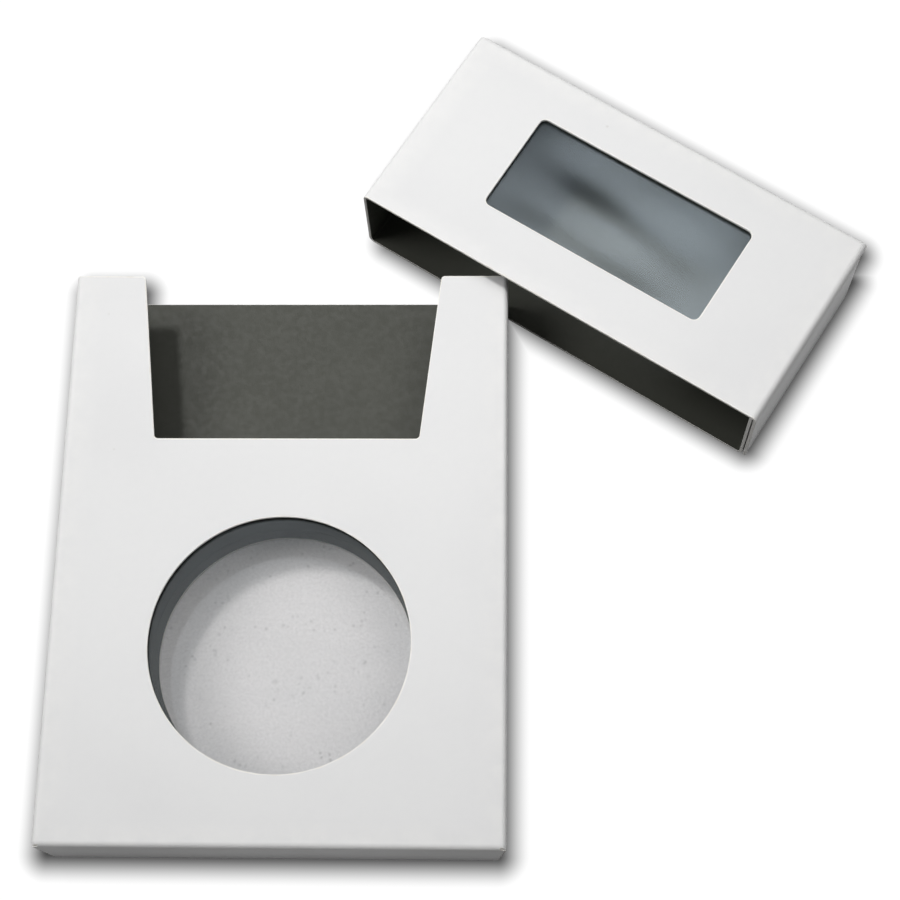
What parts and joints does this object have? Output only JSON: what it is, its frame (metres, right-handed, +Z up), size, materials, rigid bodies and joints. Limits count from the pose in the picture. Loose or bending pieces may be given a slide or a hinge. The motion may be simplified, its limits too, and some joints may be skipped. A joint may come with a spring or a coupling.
{
  "type": "coin slab storage box",
  "caption": "White paperboard box for a graded coin slab: a base with a finger notch and round clear film windows, and a pull-off cap with a film window, lying beside it.",
  "frame": {"origin": "middle of the set's footprint, on the surface that it lies on", "axes": "+Z up; +Y from the base's closed end to its mouth; +X from the base towards the cap"},
  "size_m": [0.113, 0.1196, 0.0143],
  "materials": {
    "white_board": "coated white board, soft gloss, dark grey print on the inside",
    "clear_film": "clear glossy film",
    "glue": "dried carton glue"
  },
  "bodies": {
    "base": {"base_front_panel": "white_board", "base_back_panel": "white_board", "base_front_window_film": "clear_film", "base_front_film_glue": "glue", "base_back_window_film": "clear_film", "base_back_film_glue": "glue", "base_fold_side_wall": "white_board", "base_seam_side_wall": "white_board", "base_seam_flap": "white_board", "base_seam_glue": "glue", "base_fold_side_dust_flap": "white_board", "base_seam_side_dust_flap": "white_board", "base_inner_end_flap": "white_board", "base_outer_end_flap": "white_board", "base_end_glue": "glue"},
    "cap": {"cap_front_panel": "white_board", "cap_back_panel": "white_board", "cap_fold_side_wall": "white_board", "cap_seam_side_wall": "white_board", "cap_seam_flap": "white_board", "cap_seam_glue": "glue", "cap_fold_side_dust_flap": "white_board", "cap_seam_side_dust_flap": "white_board", "cap_inner_end_flap": "white_board", "cap_outer_end_flap": "white_board", "cap_end_glue": "glue", "cap_window_film": "clear_film", "cap_film_glue": "glue"}
  },
  "joints": [
    {"name": "cap_pull", "type": "slide", "parent": "base", "child": "cap", "axis": [0.5329, 0.8462, 0], "range_m": [0, 0.0318]}
  ]
}
